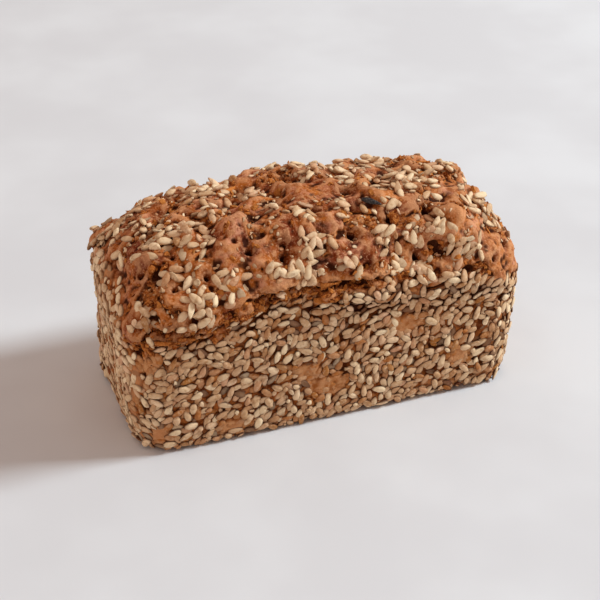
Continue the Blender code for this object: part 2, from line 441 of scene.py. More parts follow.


# Torn dough: coarse, toasted crumb, brown to orange and amber on the crumbs, with painted shade in the pits
# of its grain.
toasted = bpy.data.node_groups.new("toasted crumb", "ShaderNodeTree")
for name, kind in (("Place", "Vector"), ("Fineness", "Float")):
    toasted.interface.new_socket(name, in_out="INPUT", socket_type="NodeSocket" + kind)
for name, kind in (("Colour", "Color"), ("Height", "Float")):
    toasted.interface.new_socket(name, in_out="OUTPUT", socket_type="NodeSocket" + kind)
n = Nodes(toasted)
given, taken = n.add("NodeGroupInput").outputs, n.add("NodeGroupOutput").inputs
finer = n.math("MULTIPLY", given["Fineness"], 4.0)
coarse = n.noise(given["Place"], given["Fineness"], 3.0, 0.6)
gritty = n.noise(given["Place"], finer, 3.0, 0.65)
shade = n.blend(n.span(coarse, 0.36, 0.62), colour(106, 40, 2), colour(186, 104, 42))
shade = n.blend(n.span(gritty, 0.5, 0.72, 0.0, 0.8), shade, colour(228, 160, 96))
# Painted shade in the deepest pits of the grain.
shade = n.blend(n.span(gritty, 0.46, 0.3, 0.0, 0.6), shade, colour(78, 24, 0))
toasted.links.new(shade, taken["Colour"])
height = n.math("ADD", n.math("MULTIPLY", coarse, 0.5), n.math("MULTIPLY", gritty, 0.5))
toasted.links.new(height, taken["Height"])

CRUST_ROUGHNESS, CRUST_SHINE = 0.75, 0.08
crust_paint, n, shader = new_material("baked rye crust")
place = n.own_place()
crown_part, torn_part, funnel_shade_part = n.number("crown"), n.number("torn"), n.number("funnel")
hollow_shade_part, bare_part = n.number("hollow"), n.number("bare")
broad, middling, tiny = n.noise(place, 55, 3.0), n.noise(place, 230, 4.0, 0.6), n.noise(place, 950, 3.0, 0.65)
crumb = n.add("ShaderNodeGroup", {"Place": place, "Fineness": 180.0}, node_tree=toasted).outputs
crown_colour = n.blend(n.span(broad, 0.35, 0.65), colour(124, 42, 2), colour(190, 104, 38))
# Painted light: the crown is painted paler towards its right end, which faces the window light.
rightward = n.add("ShaderNodeSeparateXYZ", {"Vector": place}).outputs["X"]
crown_colour = n.blend(n.span(rightward, -10 * MM, 90 * MM, 0.0, 0.45), crown_colour, colour(206, 132, 80))
floury = n.span(n.noise(place, 34), 0.42, 0.6, 0.1, 1.0)
floury = n.math("MULTIPLY", floury, n.span(middling, 0.42, 0.66, 0.0, 0.85))
crown_colour = n.blend(floury, crown_colour, colour(216, 146, 112))
# Painted shade in the dents round the pricks.
crown_colour = n.blend(n.span(funnel_shade_part, 0.15, 0.6, 0.0, 0.7), crown_colour, colour(104, 38, 12))
crown_colour = n.blend(n.math("MULTIPLY", torn_part, 0.9), crown_colour, crumb["Colour"])
crown_colour = n.blend(n.span(tiny, 0.5, 0.7, 0.0, 0.6), crown_colour, colour(226, 166, 124))
crown_colour = n.blend(n.span(tiny, 0.46, 0.3, 0.0, 0.6), crown_colour, colour(92, 30, 2))
side_colour = n.blend(n.span(middling, 0.4, 0.62), colour(104, 46, 8), colour(180, 102, 48))
bare_colour = n.blend(n.span(middling, 0.35, 0.65), colour(170, 96, 42), colour(206, 146, 96))
side_colour = n.blend(bare_part, side_colour, bare_colour)
paint = n.blend(crown_part, side_colour, crown_colour)
# Painted shade darkens the crust's pits, prick holes and the crust under the lip; a painted highlight pales
# its ridges.
paint = n.blend(n.span(hollow_shade_part, 0.46, 0.84, 0.0, 0.94), paint, colour(50, 12, 0))
paint = n.blend(n.span(hollow_shade_part, 0.44, 0.15, 0.0, 0.45), paint, colour(226, 164, 116))
# Pinholes: small dents in the bump, painted near black as painted shade inside them.
pores = n.add("ShaderNodeTexVoronoi", {"Vector": place, "Scale": 260, "Randomness": 1.0}).outputs["Distance"]
pore = n.math("MULTIPLY", n.span(pores, 0.13, 0.06), n.span(n.noise(place, 90), 0.57, 0.64))
paint = n.blend(n.math("MULTIPLY", pore, 0.8), paint, colour(64, 20, 2))
coat(n, shader, paint, CRUST_ROUGHNESS, CRUST_SHINE)
height = n.math("ADD", n.math("MULTIPLY", middling, 0.5), n.math("MULTIPLY", tiny, 0.35))
height = n.math("ADD", height, n.math("MULTIPLY", n.math("MULTIPLY", torn_part, crumb["Height"]), 0.6))
height = n.math("SUBTRACT", height, n.math("MULTIPLY", pore, 0.5))
roughen(n, shader, height, 0.9, 1.1 * MM)
skin.materials.clear()
skin.materials.append(crust_paint)

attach(crust, "root")
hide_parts("loaf")

# ---------------------------------------------------------------- kernel shapes
# Shelled sunflower kernels: flattened teardrops about a centimetre long, round at one end and pointed at
# the other. Some lost a tip, some split into halves, and some are only chips.

RING_STOPS = (0.05, 0.21, 0.45, 0.70, 0.90)  # where the five rings sit, from the round end to the point
SPOKES = 8


def kernel_girth(stop, point):
    """How wide a kernel is, as a share, from its round end at 0 to its pointed end at 1."""
    reach = 2 * stop - 0.76
    if reach < 0:
        return math.sqrt(max(1 - (reach / 0.78) ** 2, 0.0))
    return max(1 - (reach / 1.24) ** 1.5, 0.0) ** point


def kernel_shape(name, point=0.72, bend=0.0, cut=0.0, flat_face=1.0, furrow=0.0, skew=0.0, uneven=0.06):
    """One kernel, a unit long, wide and thick. cut takes off its pointed end; flat_face under 1 splits it."""
    bm = bmesh.new()
    rings = []
    for stop in RING_STOPS:
        along = stop * (1 - cut)
        girth = kernel_girth(along, point)
        sway = bend * math.sin(math.pi * stop)
        ring = []
        for spoke in range(SPOKES):
            turn = 2 * math.pi * spoke / SPOKES
            reach = girth * (1 + chance.uniform(-uneven, uneven))
            across, up = math.cos(turn) * reach / 2, math.sin(turn) * reach ** 0.7 / 2
            if spoke % 2:
                across, up = across * 1.06, up * 1.1
            if up > 0:
                up *= flat_face * (1 - furrow * (spoke == SPOKES // 4))
            nudge = chance.uniform(-uneven, uneven) / 3
            ring.append(bm.verts.new((along - 0.5 * (1 - cut) + skew * across + nudge, across + sway, up)))
        rings.append(ring)
    tail = bm.verts.new((-0.5 * (1 - cut), 0, 0))
    tip = bm.verts.new((0.5 * (1 - cut) - 0.03 * (cut > 0), 0, 0))
    for spoke in range(SPOKES):
        after = (spoke + 1) % SPOKES
        bm.faces.new((tail, rings[0][after], rings[0][spoke]))
        bm.faces.new((tip, rings[-1][spoke], rings[-1][after]))
        for lower, upper in zip(rings, rings[1:]):
            bm.faces.new((lower[spoke], lower[after], upper[after], upper[spoke]))
    bmesh.ops.recalc_face_normals(bm, faces=bm.faces)
    mesh = mesh_of(bm, name)
    store(mesh, "lengthwise", corners(mesh)[:, 0] + 0.5)
    store(mesh, "upper", corners(mesh)[:, 2])
    mesh.shade_smooth()
    return bpy.data.objects.new(name, mesh)


chance = random.Random(2)
KERNEL_KINDS = [
    {},
    {"point": 0.78, "bend": 0.04, "furrow": 0.25},
    {"point": 0.55, "bend": -0.03, "skew": 0.08},
    {"point": 0.75, "bend": 0.11},
    {"point": 0.42, "furrow": 0.15},
    {"point": 0.7, "flat_face": 0.3, "skew": -0.06, "uneven": 0.1},
    {"point": 0.65, "cut": 0.36, "skew": 0.2, "uneven": 0.15},
    {"point": 0.65, "cut": 0.55, "flat_face": 0.7, "skew": -0.3, "uneven": 0.2},
]
PLAIN, SLENDER, PLUMP, CURVED, BLUNT, HALF, BROKEN, CHIP = range(8)
LOOKALIKES = 3  # no kernel is quite like another of its kind
kernel_shapes = bpy.data.collections.new("kernel shapes")
for n in range(len(KERNEL_KINDS) * LOOKALIKES):
    kernel_shapes.objects.link(kernel_shape(f"kernel {n:02d}", **KERNEL_KINDS[n // LOOKALIKES]))


def one_of(kinds):
    """The number of a kernel shape of one of these kinds."""
    return chance.choice(kinds) * LOOKALIKES + chance.randrange(LOOKALIKES)


def group_input(tree, name, kind, default=None):
    socket = tree.interface.new_socket(name, in_out="INPUT", socket_type=kind)
    if default is not None:
        socket.default_value = default
    return socket.identifier


spread = bpy.data.node_groups.new("kernels on dough", "GeometryNodeTree")
spread.interface.new_socket("Geometry", in_out="OUTPUT", socket_type="NodeSocketGeometry")
group_input(spread, "Geometry", "NodeSocketGeometry")
SPREAD = {
    "Shapes": group_input(spread, "Shapes", "NodeSocketCollection"),
    "Size": group_input(spread, "Size", "NodeSocketFloat", 1.0),
    "Tilt": group_input(spread, "Tilt", "NodeSocketFloat", 0.1),
    "Seed": group_input(spread, "Seed", "NodeSocketInt", 1),
    "Finish": group_input(spread, "Finish", "NodeSocketMaterial"),
}
n = Nodes(spread)
given = n.add("NodeGroupInput").outputs


def named(name, kind):
    return n.add("GeometryNodeInputNamedAttribute", {"Name": name}, data_type=kind).outputs["Attribute"]


upright = n.add("FunctionNodeAlignRotationToVector", {"Vector": named("out", "FLOAT_VECTOR")}, axis="Z")
laid = n.add(
    "FunctionNodeAlignRotationToVector",
    {"Rotation": upright.outputs[0], "Vector": named("lie", "FLOAT_VECTOR")},
    axis="X",
    pivot_axis="Z",
)
lean = n.add("FunctionNodeRandomValue", {"Seed": given["Seed"]}, data_type="FLOAT_VECTOR")
lean.inputs[0].default_value = (-1, -1, -0.3)
lean.inputs[1].default_value = (1, 1, 0.3)
leaning = n.add("ShaderNodeVectorMath", {0: lean.outputs[0], "Scale": given["Tilt"]}, operation="SCALE")
turned = n.add(
    "FunctionNodeRotateRotation",
    {"Rotation": laid.outputs[0], "Rotate By": leaning.outputs[0]},
    rotation_space="LOCAL",
)
own_size = named("size", "FLOAT_VECTOR")
sized = n.add("ShaderNodeVectorMath", {0: own_size, "Scale": given["Size"]}, operation="SCALE")
shapes = n.add("GeometryNodeCollectionInfo", {"Collection": given["Shapes"], "Separate Children": True})
set_down = n.add(
    "GeometryNodeInstanceOnPoints",
    {
        "Points": given["Geometry"],
        "Instance": shapes.outputs[0],
        "Pick Instance": True,
        "Instance Index": named("shape", "INT"),
        "Rotation": turned.outputs[0],
        "Scale": sized.outputs[0],
    },
)
real = n.add("GeometryNodeRealizeInstances", {"Geometry": set_down.outputs[0]})
finished = n.add("GeometryNodeSetMaterial", {"Geometry": real.outputs[0], "Material": given["Finish"]})
done = n.add("NodeGroupOutput")
spread.links.new(finished.outputs[0], done.inputs[0])

# Kernels are dry, dull and waxy: grey-beige to cream and browner at the ends, with painted shade on the
# underside where the dough holds them. "tone" runs from 0, toasted, to 1, pale and clean; "blush" is a pink
# cast; "film" is dough baked onto it; the fourth number sets how much painted shade darkens the underside.
kernel_paint, n, shader = new_material("sunflower kernels")
place = n.own_place()
tone, blush, film = n.number("tone"), n.number("blush"), n.number("film")
streaks, mottle = n.noise(place, 700, 2.0), n.noise(place, 300, 2.0)
pale = n.blend(tone, colour(178, 112, 48), colour(252, 221, 179))
pale = n.blend(n.math("MULTIPLY", blush, 0.6), pale, colour(216, 146, 108))
pale = n.blend(n.span(streaks, 0.45, 0.75, 0.0, 0.35), pale, colour(255, 232, 198))
pale = n.blend(n.span(mottle, 0.5, 0.28, 0.0, 0.5), pale, colour(150, 86, 22))
ends = n.span(n.math("ABSOLUTE", n.math("SUBTRACT", n.number("lengthwise"), 0.45)), 0.3, 0.55, 0.0, 0.45)
pale = n.blend(ends, pale, colour(160, 96, 38))
filmed = n.math("MULTIPLY", film, n.span(mottle, 0.3, 0.6, 0.55, 1.0))
pale = n.blend(filmed, pale, n.blend(streaks, colour(140, 68, 12), colour(214, 138, 72)))
# Painted shade on the underside, where the kernel meets the dough.
foot_shade = n.math("MULTIPLY", n.span(n.number("upper"), 0.38, -0.04, 0.0, 0.94), n.number("bedded"))
pale = n.blend(foot_shade, pale, colour(74, 24, 0))
coat(n, shader, pale, roughness=0.6, shine=0.16)
roughen(n, shader, streaks, 0.4, 0.4 * MM)

# ---------------------------------------------------------------- pressed kernels
# The dough was rolled in kernels before it went into the tin, whose walls pressed them flat and nearly
# flush, packed side by side in swirls over the sides, the ends and the base.


def share_of(value):
    """Keeps a share from 0 to 1."""
    return min(max(value, 0), 1)


# One kernel or crumb: where it lies and which way, its size and shape, the state of its skin, and its painted
# shade underneath.
Kernel = namedtuple("Kernel", "place out lie size rise shape tone blush film bedded", defaults=(0.0,) * 4)


class Bed:
    """Kernels laid side by side on a surface, each kept off its neighbours."""

    def __init__(self):
        self.cell = 12 * MM
        self.cells = {}
        self.laid = []

    def key(self, place):
        return tuple(int(math.floor(c / self.cell)) for c in place)

    def near(self, place):
        a, b, c = self.key(place)
        for i in (a - 1, a, a + 1):
            for j in (b - 1, b, b + 1):
                for k in (c - 1, c, c + 1):
                    yield from self.cells.get((i, j, k), ())

    def free(self, place, lie, length, width, closeness):
        for other in self.near(place):
            gap = place - other.place
            distance = gap.length
            if distance < 1e-6:
                return False
            reach = half_span(gap, distance, lie, length, width)
            reach += half_span(gap, distance, other.lie, *other.size[:2])
            if distance < closeness * reach:
                return False
        return True

    def lay(self, kernel):
        self.laid.append(kernel)
        self.cells.setdefault(self.key(kernel.place), []).append(kernel)


def half_span(gap, distance, lie, length, width):
    """How far a kernel reaches from its middle along the line to another one."""
    along = gap.dot(lie) / distance
    across = math.sqrt(max(1 - along * along, 0.0))
    return 1 / math.hypot(2 * along / length, 2 * across / width)


class Spots:
    """Picks points all over a mesh, evenly by area times a weight for each face."""

    def __init__(self, mesh, weigh):
        mesh.calc_loop_triangles()
        self.points = corners(mesh)
        self.facing = normals(mesh)
        flat = np.empty(len(mesh.loop_triangles) * 3, np.int32)
        mesh.loop_triangles.foreach_get("vertices", flat)
        self.triangles = flat.reshape(-1, 3)
        a, b, c = (self.points[self.triangles[:, k]] for k in range(3))
        cross = np.cross(b - a, c - a)
        area = np.linalg.norm(cross, axis=1) / 2
        weight = area * weigh((a + b + c) / 3, cross / np.maximum(2 * area, 1e-12)[:, None])
        self.steps = np.cumsum(weight) / weight.sum()

    def pick(self, chance, count):
        found = np.searchsorted(self.steps, [chance.random() for _ in range(count)])
        for face in np.minimum(found, len(self.triangles) - 1):
            one, two = chance.random(), chance.random()
            if one + two > 1:
                one, two = 1 - one, 1 - two
            shares = np.array([1 - one - two, one, two])
            corner = self.triangles[face]
            out = shares @ self.facing[corner]
            yield Vector(shares @ self.points[corner]), Vector(out / np.linalg.norm(out))


def lie_on(out, angle):
    """A direction in the surface, this far round from level, or from lengthwise where it faces up."""
    level = Vector((0, 0, 1)).cross(out)
    if level.length < 0.5:
        level = Vector((1, 0, 0)) - out * out.x
    level.normalize()
    return (level * math.cos(angle) + out.cross(level) * math.sin(angle)).normalized()


def kernels_from(bed, name, tilt, seed, finish, shapes=kernel_shapes):
    """Turns a bed's kernels into one mesh piece."""
    kernels = bed.laid
    mesh = bpy.data.meshes.new(name)
    mesh.from_pydata([k.place + k.out * k.rise for k in kernels], [], [])
    for key in ("out", "lie", "size"):
        attribute = mesh.attributes.new(key, "FLOAT_VECTOR", "POINT")
        attribute.data.foreach_set("vector", [c for k in kernels for c in getattr(k, key)])
    shape = mesh.attributes.new("shape", "INT", "POINT")
    shape.data.foreach_set("value", [k.shape for k in kernels])
    for key in ("tone", "blush", "film", "bedded"):
        store(mesh, key, np.array([getattr(k, key) for k in kernels]))
    piece = link(name, mesh)
    modifier = piece.modifiers.new("kernels", "NODES")
    modifier.node_group = spread
    modifier[SPREAD["Shapes"]] = shapes
    modifier[SPREAD["Tilt"]] = tilt
    modifier[SPREAD["Seed"]] = seed
    modifier[SPREAD["Finish"]] = finish
    made = evaluated_mesh(piece)
    piece.modifiers.clear()
    piece.data = made
    return piece


TIN_RIM = 80 * MM  # above it nothing pressed on the loaf


def press_flush(mesh, most):
    """Flattens what stands out too far from the loaf's form, as the tin's walls and base did."""
    places = corners(mesh)
    for n, place in enumerate(places):
        if place[2] < TIN_RIM:
            on_form, out, _, _ = form_tree.find_nearest(Vector(place))
            proud = (Vector(place) - on_form).dot(out) - most
            if proud > 0:
                places[n] = place - np.array(out) * proud * 0.8
    places[:, 2] = np.maximum(places[:, 2], 0.0)
    move_corners(mesh, places)


def bare_share(point):
    share = 0.0
    for x, y, z, wide, high in BARE_PATCHES:
        gap = point / MM - Vector((x, y, z))
        deep = PATCH_DEEP if abs(y) > 40 else wide
        away = Vector((gap.x / wide, gap.y / deep, gap.z / high)).length
        share = max(share, 1 - float(ease(0.75, 1.1, away)))
    return share


def pressed_share(points, out):
    """How thickly the pressed kernels lie: all over the sides and the base, up to the torn band."""
    ragged = raggedness(points)
    below = ease(-1.0, -3.5, (points[:, 2] - pressed_top(points)) / MM + ragged)
    corner = ease(0.35, 0.62, np.minimum(np.abs(out[:, 0]), np.abs(out[:, 1])))
    front_left = (points[:, 0] < 0) & (points[:, 1] < 0)
    return below * np.where(out[:, 2] < -0.7, 0.05, 1 - corner * np.where(front_left, 0.75, 0.2))


def proud_share(points, out):
    """Where kernels stand proud: in drifts, and nowhere on the base."""
    drift = 0.25 + ease(-0.25, 0.25, cloud(points, 24 * MM, 19.3))
    drift *= 1 - np.array([bare_share(Vector(p)) for p in points])
    drift *= 1 - 0.65 * on_left_end(points[:, 0])
    return pressed_share(points, out) * drift * (out[:, 2] > -0.7)


def swirl(place, out):
    """The angle that pressed kernels lie at: slanting on the long sides, upright on the ends."""
    turn = noise.noise(place / (22 * MM)) * math.radians(100)
    if abs(out.z) > 0.7:
        return noise.noise(place / (30 * MM)) * math.pi * 2
    start = 78 if abs(out.x) > 0.6 else 38
    return math.radians(start) + turn


STRAY = math.radians(48)  # from the way that a swirl runs
BURIED = 0.6  # how much deeper, in mm, the dough took the deepest kernels


def press_in(bed, spots, sizes, top, film):
    """Lays kernels of these sizes into the dough, their tops this far under the tin wall or deeper."""
    for tries, lengths, widths, closeness, kinds in sizes:
        for place, out in spots.pick(chance, tries):
            angle = swirl(place, out) + chance.gauss(0, STRAY)
            length, width = chance.uniform(*lengths) * MM, chance.uniform(*widths) * MM
            if chance.random() < 0.5:
                angle += math.pi
            lie = lie_on(out, angle)
            if not bed.free(place, lie, length, width, closeness):
                continue
            buried = bare_share(place)
            sunk = chance.random()
            shallow = float(on_left_end(place.x))
            thick = width * chance.uniform(0.5, 0.62)
            rise = -thick / 2 - (top + BURIED * sunk) * (1 - buried) * MM - (0.15 + 0.4 * sunk) * buried * MM
            shape = one_of(kinds)
            # On the shaded left end the kernels are painted paler and less filmed, as painted light, with
            # less painted shade underneath.
            tone = share_of(0.9 - 0.55 * sunk + 0.2 * shallow + chance.gauss(0, 0.26))
            blush = share_of(chance.gauss(-0.1, 0.45))
            filmed = film + 0.5 * sunk - 0.25 + 0.8 * buried - 0.2 * shallow
            filmed = share_of(filmed + chance.gauss(0, 0.32))
            size = (length, width, thick)
            bed.lay(Kernel(place, out, lie, size, rise, shape, tone, blush, filmed, 1 - 0.5 * shallow))


chance = random.Random(5)
deep_bed, top_bed = Bed(), Bed()
deep_sizes = [
    # how many tries, length and width from and to, how close, shapes
    (9000, (6.6, 8.2), (3.7, 4.5), 0.84, (PLAIN, SLENDER, PLUMP, CURVED, BLUNT, HALF)),
    (20000, (5.6, 7.2), (3.2, 4.0), 0.80, (PLAIN, SLENDER, PLUMP, BLUNT, HALF)),
    (14000, (3.4, 5.2), (2.6, 3.5), 0.79, (BROKEN, HALF, PLAIN)),
]
top_sizes = [
    (2600, (6.8, 8.4), (3.7, 4.6), 0.88, (PLAIN, SLENDER, PLUMP, CURVED, BLUNT)),
    (3000, (5.8, 7.6), (3.3, 4.2), 0.84, (PLAIN, SLENDER, PLUMP, CURVED, BLUNT, HALF)),
    (2400, (3.0, 5.2), (2.5, 3.6), 0.82, (BROKEN, CHIP, PLAIN)),
]
press_in(deep_bed, Spots(form, pressed_share), deep_sizes, top=0.0, film=0.4)
press_in(top_bed, Spots(form, proud_share), top_sizes, top=-0.75, film=0.06)
kernels_in_dough = kernels_from(deep_bed, "kernels_in_dough", tilt=0.09, seed=3, finish=kernel_paint)
pressed_kernels = kernels_from(top_bed, "pressed_kernels", tilt=0.24, seed=6, finish=kernel_paint)
for piece, proud in ((kernels_in_dough, 0.4 * MM), (pressed_kernels, 1.1 * MM)):
    press_flush(piece.data, proud)
    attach(piece, "root")

# ---------------------------------------------------------------- loose kernels
# Kernels strewn over the wet crown before baking: they stuck in handfuls, lie every way, and left bare
# crust between them.

HANDFULS = [
    # x, y, z of the middle and how far it reaches, how thickly
    (-79, -18, 106, 13, 1.0), (-68, -20, 108, 10, 0.9), (-97, 20, 90, 14, 0.9), (-101, 30, 82, 9, 0.8),
    (-101, -4, 90, 8, 0.7), (-71, 36, 95, 15, 1.0), (-55, 30, 101, 12, 1.0), (-46, 14, 107, 12, 1.0),
    (-38, 26, 102, 10, 0.9), (-52, -8, 111, 9, 0.8), (-28, 3, 111, 9, 0.8), (-17, -27, 116, 7, 0.8),
    (-24, -20, 114, 5, 0.6), (-81, -40, 95, 9, 0.9), (-72, -48, 91, 8, 0.8), (-73, -53, 81, 9, 1.0),
    (-56, -48, 95, 9, 0.8), (-57, -52, 86, 6, 0.7), (-98, -43, 77, 8, 0.8), (-62, -32, 106, 5, 0.7),
    (-35, -49, 97, 6, 0.6), (-26, -49, 96, 6, 0.7), (-31, -53, 85, 4, 0.8), (-12, -45, 105, 9, 0.9),
    (-17, -50, 92, 9, 0.8), (6, -51, 93, 8, 0.7), (26, -42, 99, 8, 0.8), (41, -42, 97, 8, 0.7),
    (55, -42, 101, 8, 0.8), (62, -49, 88, 9, 0.4), (73, -48, 86, 8, 0.5), (28, -51, 86, 8, 0.6),
    (43, -50, 82, 8, 0.5), (59, -52, 76, 6, 0.5), (41, -13, 114, 13, 1.0), (56, -6, 111, 12, 1.0),
    (60, -20, 111, 9, 0.8), (20, -2, 114, 8, 0.7), (9, -27, 113, 6, 0.9), (25, -30, 112, 6, 0.8),
    (35, -33, 110, 6, 0.8), (78, 5, 105, 12, 1.0), (80, -26, 101, 11, 1.0), (90, -24, 94, 9, 0.9),
    (98, -24, 84, 7, 0.4), (-11, -33, 115, 6, 0.7), (102, 14, 85, 11, 0.7), (88, 6, 105, 9, 1.0),
    (20, 30, 108, 14, 0.9), (50, 28, 106, 13, 1.1), (-8, 38, 100, 12, 0.8), (75, 38, 94, 12, 0.8),
    (-85, 5, 105, 10, 0.8), (-25, 50, 85, 10, 0.7), (35, 50, 88, 10, 0.7), (-70, 52, 78, 9, 0.8),
    (88, 46, 78, 9, 0.7), (5, 12, 112, 8, 0.8), (12, 28, 108, 10, 0.9), (27, 10, 112, 9, 0.8),
    (-99, 38, 82, 8, 1.0), (-99, 44, 78, 7, 0.8), (62, -52, 74, 7, 0.6), (73, -52, 71, 7, 0.6),
    (47, -52, 77, 6, 0.7),
]
HUSK_AT = Vector((24, -29, 112.5)) * MM
HUSK_CLEAR, PRICK_CLEAR = 5 * MM, 2.2 * MM
TOUCHING = 5.5 * MM  # middle to middle, for a kernel that lies on others
WHOLE = 0.74  # the share of the loose kernels that aren't broken
CLOSE = 0.85  # under 1, neighbours overlap a little
skin_tree = BVHTree.FromPolygons([v.co for v in skin.vertices], [p.vertices for p in skin.polygons])


def kept_clear(place):
    """No kernel closes a prick or covers the husk."""
    by_husk = (place - HUSK_AT).length < HUSK_CLEAR
    return by_husk or any((place - middle).length < wide + PRICK_CLEAR for middle, wide in pricks)


def strew(bed, x, y, z, reach, tries, layer, under=None):
    """Lets kernels fall round a place on the crown. They stick where they find room."""
    for _ in range(tries):
        stray = Vector([chance.gauss(0, reach * 0.38) for _ in range(3)])
        spot, _, _, _ = form_tree.find_nearest((Vector((x, y, z)) + stray) * MM)
        place, out, _, _ = skin_tree.find_nearest(spot)
        if place.z < pressed_top(np.array([place]))[0] + 1 * MM or kept_clear(place):
            continue
        whole = chance.random() < WHOLE
        length = (chance.uniform(7.0, 8.8) if whole else chance.uniform(3.5, 6.5)) * MM
        width = (chance.uniform(3.6, 4.7) if whole else chance.uniform(2.6, 3.8)) * MM
        shape = one_of((PLAIN, SLENDER, PLUMP, CURVED, BLUNT, HALF) if whole else (BROKEN, CHIP, HALF))
        _, broad_out, _, _ = form_tree.find_nearest(place)
        out = (out * 0.35 + broad_out).normalized()
        beside = noise.noise(place / (12 * MM)) * 2 * math.pi
        lie = lie_on(out, beside + chance.gauss(0, math.radians(40)))
        if not bed.free(place, lie, length, width, CLOSE):
            continue
        if under and sum((k.place - place).length < TOUCHING for k in under.near(place)) < 3:
            continue
        thick = width * chance.uniform(0.44, 0.57)
        rise = (chance.uniform(-0.2, 0.25) + 0.75 * layer) * thick
        tone = share_of(chance.gauss(0.76, 0.25))
        blush = share_of(chance.gauss(0.05, 0.35))
        film = share_of(chance.gauss(0.05, 0.2) - 0.2 * layer)
        size = (length, width, thick)
        # The last number is the painted shade underneath, less for kernels heaped on others.
        bed.lay(Kernel(place, out, lie, size, rise, shape, tone, blush, film, 0.45 - 0.35 * layer))


chance = random.Random(23)
loose, heaped = Bed(), Bed()
for x, y, z, reach, thick in HANDFULS:
    strew(loose, x, y, z, 0.94 * reach, int(1.45 * thick * reach ** 2), layer=0)
for x, y, z, reach, thick in HANDFULS:
    strew(heaped, x, y, z, 0.75 * reach, int(0.45 * thick * reach ** 2), layer=1, under=loose)
for kernel in heaped.laid:
    loose.lay(kernel)
loose_kernels = kernels_from(loose, "loose_kernels", tilt=0.38, seed=8, finish=kernel_paint)
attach(loose_kernels, "root")

# ---------------------------------------------------------------- crumbs
# Bits of broken kernel and crumbs of crust that stuck all over the crown, thickest where it tore open.

crumb_shapes = bpy.data.collections.new("kernel bits")
crumb_shapes.objects.link(kernel_shape("a bit", 0.5, cut=0.6, skew=0.4))
crumb_shapes.objects.link(kernel_shape("b bit", 0.8, cut=0.3, flat_face=0.5))


def lump_shape(name, shift):
    """One crumb of crust, a unit across: a small ball pushed in and out."""
    bm = bmesh.new()
    bmesh.ops.create_icosphere(bm, subdivisions=1, radius=0.5)
    for corner in bm.verts:
        corner.co *= 1 + 0.9 * noise.noise(corner.co * 2.2 + Vector((shift, shift, 0)))
    return bpy.data.objects.new(name, mesh_of(bm, name))


lump_shapes = bpy.data.collections.new("crust lumps")
for k, letter in enumerate("abcd"):
    lump_shapes.objects.link(lump_shape(letter + " lump", 3.7 * k + 0.4))


def strewn_share(points, out):
    """Crumbs lie in drifts all over the crown."""
    drift = 0.25 + ease(-0.1, 0.5, cloud(points, 14 * MM, 31.7))
    return ease(-1 * MM, 3 * MM, points[:, 2] - rim_height(points)) * drift * ease(0.0, 0.4, out[:, 2])


def torn_share(points, out):
    """Crust crumbs lie along the torn band and wherever the crust broke up."""
    height = (points[:, 2] - rim_height(points)) / MM
    band = torn_band(points)
    along_band = ease(-1.5, 0.5, height + band) * ease(2.5, 0.5, height) * (band > 3)
    return 0.8 * along_band + (0.5 * torn_patches(points) + 0.04) * ease(0, 4, height)


def scatter(spots, count, small, large, usual, shapes, stretch):
    """Drops this many crumbs of these lengths, in mm, without minding what they land on."""
    bed = Bed()
    for place, out in spots.pick(chance, count):
        length = chance.triangular(small, large, usual) * MM
        width = length * chance.uniform(0.55, 0.9)
        lie = lie_on(out, chance.uniform(0, 2 * math.pi))
        size = (stretch * length, width, 0.6 * width)
        shape = chance.choice(shapes)
        tone = share_of(chance.gauss(0.6, 0.35))
        blush = share_of(chance.gauss(0.1, 0.5))
        film = share_of(chance.gauss(0.1, 0.4))
        bed.lay(Kernel(place, out, lie, size, 0.12 * width, shape, tone, blush, film, 0.5))
    return bed


NUT_BROWN_LUMP = Vector((33, -38, 106)) * MM
kernel_bits = scatter(Spots(skin, strewn_share), 750, 1.0, 3.6, usual=1.6, shapes=(0, 1), stretch=1.5)
kernel_crumbs = kernels_from(kernel_bits, "kernel_crumbs", 0.5, 4, kernel_paint, crumb_shapes)
crumb_paint, n, shader = new_material("crumbs of crust")
place = n.own_place()
crumb = n.add("ShaderNodeGroup", {"Place": place, "Fineness": 300.0}, node_tree=toasted).outputs
shade = n.blend(n.span(n.number("tone"), 0.5, 1.0, 0.0, 0.6), crumb["Colour"], colour(206, 130, 62))
coat(n, shader, shade, CRUST_ROUGHNESS, CRUST_SHINE)
roughen(n, shader, crumb["Height"], 0.8, 0.8 * MM)
crust_bits = scatter(Spots(skin, torn_share), 950, 1.0, 5.6, usual=2.0, shapes=(0, 1, 2, 3), stretch=1.2)
nut_place, nut_out, _, _ = form_tree.find_nearest(NUT_BROWN_LUMP)
nut_size = (7.5 * MM, 7 * MM, 5.5 * MM)
crust_bits.lay(Kernel(nut_place, nut_out, lie_on(nut_out, 0.4), nut_size, 0.0, 1, tone=0.1))
crust_crumbs = kernels_from(crust_bits, "crust_crumbs", 0.6, 9, crumb_paint, lump_shapes)
for piece, slot in ((kernel_crumbs, "seeds"), (crust_crumbs, "crust")):
    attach(piece, "root")

# ---------------------------------------------------------------- flakes, husk and herb
# Flakes of crust that lifted as the loaf baked, one sliver of black husk left on a kernel, and one speck of
# green herb on the left end.

FLAKE_STEPS = 6


